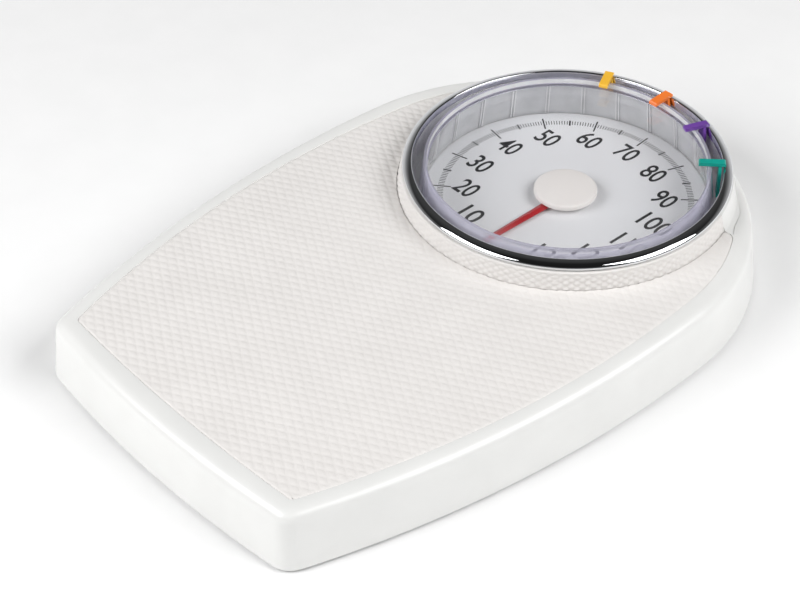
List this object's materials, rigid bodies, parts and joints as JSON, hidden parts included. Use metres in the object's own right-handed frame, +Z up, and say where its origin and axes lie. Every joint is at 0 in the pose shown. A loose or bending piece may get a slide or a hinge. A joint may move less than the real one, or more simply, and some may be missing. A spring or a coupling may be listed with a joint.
{
  "type": "mechanical dial platform scale",
  "caption": "Bathroom platform scale with a barrelled white housing, dimpled mat, large chrome-rimmed dial with a red pointer and sliding coloured weight markers.",
  "frame": {"origin": "on the floor under the middle of the object's box", "axes": "+Y towards the toe end with the dial, +X to the user's right, +Z up"},
  "size_m": [0.3034, 0.441, 0.0618],
  "materials": {
    "housing": "satin white moulded",
    "mat": "off-white dimpled",
    "chrome": "mirror polish",
    "lens": "clear moulded acrylic, faint lavender tint",
    "dial_face": "satin silver grey with black print",
    "pointer": "red",
    "hub_cap": "warm white satin",
    "carrier": "moulded",
    "marker_yellow": "moulded",
    "marker_orange": "moulded",
    "marker_purple": "moulded",
    "marker_teal": "moulded",
    "zinc_steel": "zinc plated pressing",
    "spring_steel": "hardened, oiled",
    "tray": "galvanised pressing",
    "brass": "stamped",
    "grey_plastic": "moulded",
    "foot": "moulded"
  },
  "bodies": {
    "base": {"base_tray": "tray", "spring_frame": "zinc_steel", "gear_frame": "zinc_steel", "foot_bearing": "brass", "foot_heel_left": "foot", "foot_heel_right": "foot", "foot_toe_left": "foot", "foot_toe_right": "foot", "fulcrum_heel_left": "zinc_steel", "fulcrum_heel_right": "zinc_steel", "fulcrum_toe_left": "zinc_steel", "fulcrum_toe_right": "zinc_steel", "rack_guide_heel": "grey_plastic", "rack_guide_toe": "grey_plastic", "crank_pin": "spring_steel", "main_spring": "spring_steel"},
    "platform": {"top_housing": "housing", "anti_slip_mat": "mat", "stiffener_plate": "zinc_steel", "load_hanger_heel_left": "zinc_steel", "load_hanger_heel_right": "zinc_steel", "load_hanger_toe_left": "zinc_steel", "load_hanger_toe_right": "zinc_steel", "dial_carrier": "carrier", "dial_plate": "dial_face", "lens": "lens", "bezel": "chrome", "dial_screw_1": "zinc_steel", "dial_screw_2": "zinc_steel", "dial_screw_3": "zinc_steel", "dial_screw_4": "zinc_steel"},
    "spring_plate": {"spring_plate": "zinc_steel"},
    "crank": {"crank": "zinc_steel"},
    "rack": {"rack": "brass"},
    "pointer": {"pinion": "brass", "pointer_shaft": "spring_steel", "pointer": "pointer", "hub_cap": "hub_cap"},
    "zero_wheel": {"zero_wheel": "grey_plastic", "zero_screw": "zinc_steel"},
    "spring_hanger": {"spring_hanger": "zinc_steel"},
    "main_lever_left": {"main_lever_left": "zinc_steel", "main_fulcrum_knife_left": "spring_steel", "main_load_knife_left": "spring_steel", "link_left": "zinc_steel"},
    "short_lever_left": {"short_lever_left": "zinc_steel", "short_fulcrum_knife_left": "spring_steel", "short_load_knife_left": "spring_steel"},
    "main_lever_right": {"main_lever_right": "zinc_steel", "main_fulcrum_knife_right": "spring_steel", "main_load_knife_right": "spring_steel", "link_right": "zinc_steel"},
    "short_lever_right": {"short_lever_right": "zinc_steel", "short_fulcrum_knife_right": "spring_steel", "short_load_knife_right": "spring_steel"},
    "marker_yellow": {"marker_yellow": "marker_yellow"},
    "marker_orange": {"marker_orange": "marker_orange"},
    "marker_purple": {"marker_purple": "marker_purple"},
    "marker_teal": {"marker_teal": "marker_teal"}
  },
  "joints": [
    {"name": "platform_press", "type": "slide", "parent": "base", "child": "platform", "axis": [0, 0, -1], "range_m": [0, 0.001], "stiffness_N_per_m": 200000, "springref_m": -0.0002},
    {"name": "pointer_spin", "type": "hinge", "parent": "base", "child": "pointer", "pos_m": [0, 0.1125, 0.0309], "axis": [0, 0, -1], "range_deg": [0, 325.01]},
    {"name": "main_lever_left_tilt", "type": "hinge", "parent": "base", "child": "main_lever_left", "pos_m": [-0.085, -0.185, 0.017], "axis": [-1, 0, 0], "range_deg": [0, 1.91]},
    {"name": "short_lever_left_tilt", "type": "hinge", "parent": "base", "child": "short_lever_left", "pos_m": [-0.112, 0.14, 0.017], "axis": [1, 0, 0], "range_deg": [0, 1.91]},
    {"name": "main_lever_right_tilt", "type": "hinge", "parent": "base", "child": "main_lever_right", "pos_m": [0.085, -0.185, 0.017], "axis": [-1, 0, 0], "range_deg": [0, 1.91]},
    {"name": "short_lever_right_tilt", "type": "hinge", "parent": "base", "child": "short_lever_right", "pos_m": [0.112, 0.14, 0.017], "axis": [1, 0, 0], "range_deg": [0, 1.91]},
    {"name": "spring_plate_drop", "type": "slide", "parent": "base", "child": "spring_plate", "axis": [0, 0, -1], "range_m": [0, 0.00573], "deforming": ["main_spring"]},
    {"name": "crank_turn", "type": "hinge", "parent": "base", "child": "crank", "pos_m": [0, 0.002, 0.0285], "axis": [1, 0, 0], "range_deg": [0, 40.11]},
    {"name": "rack_slide", "type": "slide", "parent": "base", "child": "rack", "axis": [0, 1, 0], "range_m": [0, 0.01418]},
    {"name": "spring_hanger_shift", "type": "slide", "parent": "base", "child": "spring_hanger", "axis": [0, 0, 1], "range_m": [-0.0004, 0.0004]},
    {"name": "zero_wheel_turn", "type": "hinge", "parent": "base", "child": "zero_wheel", "pos_m": [0, -0.031, 0.0016], "axis": [0, 0, 1], "range_deg": [-180.01, 180.01]},
    {"name": "marker_yellow_slide", "type": "hinge", "parent": "platform", "child": "marker_yellow", "pos_m": [0, 0.1125, 0.0594], "axis": [0, 0, -1], "range_deg": [-140, 9]},
    {"name": "marker_orange_slide", "type": "hinge", "parent": "platform", "child": "marker_orange", "pos_m": [0, 0.1125, 0.0594], "axis": [0, 0, -1], "range_deg": [-9, 9]},
    {"name": "marker_purple_slide", "type": "hinge", "parent": "platform", "child": "marker_purple", "pos_m": [0, 0.1125, 0.0594], "axis": [0, 0, -1], "range_deg": [-9, 9]},
    {"name": "marker_teal_slide", "type": "hinge", "parent": "platform", "child": "marker_teal", "pos_m": [0, 0.1125, 0.0594], "axis": [0, 0, -1], "range_deg": [-9, 95]}
  ],
  "couplings": [
    {"joint": "pointer_spin", "follows": "platform_press", "rad_per_m": 5672.3},
    {"joint": "main_lever_left_tilt", "follows": "platform_press", "rad_per_m": 33.333},
    {"joint": "main_lever_right_tilt", "follows": "platform_press", "rad_per_m": 33.333},
    {"joint": "short_lever_left_tilt", "follows": "platform_press", "rad_per_m": 33.333},
    {"joint": "short_lever_right_tilt", "follows": "platform_press", "rad_per_m": 33.333},
    {"joint": "spring_plate_drop", "follows": "platform_press", "ratio": 5.7333},
    {"joint": "crank_turn", "follows": "platform_press", "rad_per_m": 700},
    {"joint": "rack_slide", "follows": "platform_press", "ratio": 14.181},
    {"joint": "zero_wheel_turn", "follows": "spring_hanger_shift", "rad_per_m": 7854}
  ]
}
